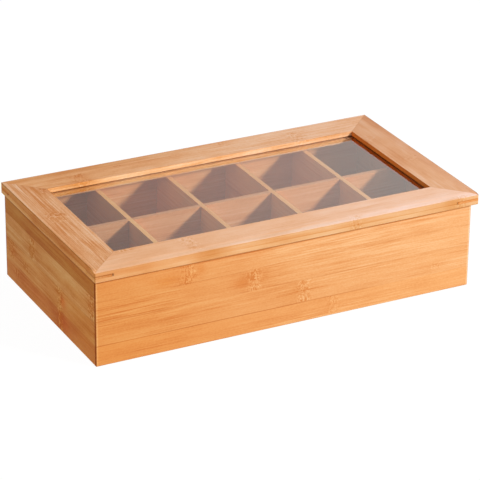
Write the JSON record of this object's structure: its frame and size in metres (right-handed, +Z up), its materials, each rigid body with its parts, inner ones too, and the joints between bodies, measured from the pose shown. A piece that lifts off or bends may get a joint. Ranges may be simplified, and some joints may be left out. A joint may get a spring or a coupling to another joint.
{
  "type": "tea bag organizer box",
  "caption": "Low bamboo box with a grid of tea bag compartments and a hinged framed lid with a clear window.",
  "frame": {"origin": "centre of the closed box's bounding box at the plane it rests on; the bounding box takes in the lid's front lip and the hinge tails at the back", "axes": "+X to the right seen from the front, along the long side; +Y from the front to the hinged rear; +Z up"},
  "size_m": [0.36, 0.2022, 0.0892],
  "materials": {
    "case_bamboo": "satin clear lacquer",
    "lid_bamboo": "satin clear lacquer",
    "divider_bamboo": "satin clear lacquer",
    "clear_pane": "clear, polished",
    "hinge_brass": "polished",
    "screw_brass": "satin"
  },
  "bodies": {
    "box": {"front_panel": "case_bamboo", "rear_panel": "case_bamboo", "left_panel": "case_bamboo", "right_panel": "case_bamboo", "bottom_panel": "divider_bamboo", "long_divider": "divider_bamboo", "cross_divider_1": "divider_bamboo", "cross_divider_2": "divider_bamboo", "cross_divider_3": "divider_bamboo", "cross_divider_4": "divider_bamboo", "hinge_left_body_leaf": "hinge_brass", "hinge_left_pin": "hinge_brass", "hinge_right_body_leaf": "hinge_brass", "hinge_right_pin": "hinge_brass", "body_hinge_screws": "screw_brass"},
    "lid": {"lid_rail_front": "lid_bamboo", "lid_rail_rear": "lid_bamboo", "lid_rail_left": "lid_bamboo", "lid_rail_right": "lid_bamboo", "spline_front_left": "lid_bamboo", "spline_front_right": "lid_bamboo", "spline_rear_left": "lid_bamboo", "spline_rear_right": "lid_bamboo", "window_pane": "clear_pane", "hinge_left_lid_leaf": "hinge_brass", "hinge_right_lid_leaf": "hinge_brass", "lid_hinge_screws": "screw_brass"}
  },
  "joints": [
    {"name": "lid_hinge", "type": "hinge", "parent": "box", "child": "lid", "pos_m": [0, 0.09834, 0.0792], "axis": [-1, 0, 0], "range_deg": [0, 95]}
  ]
}
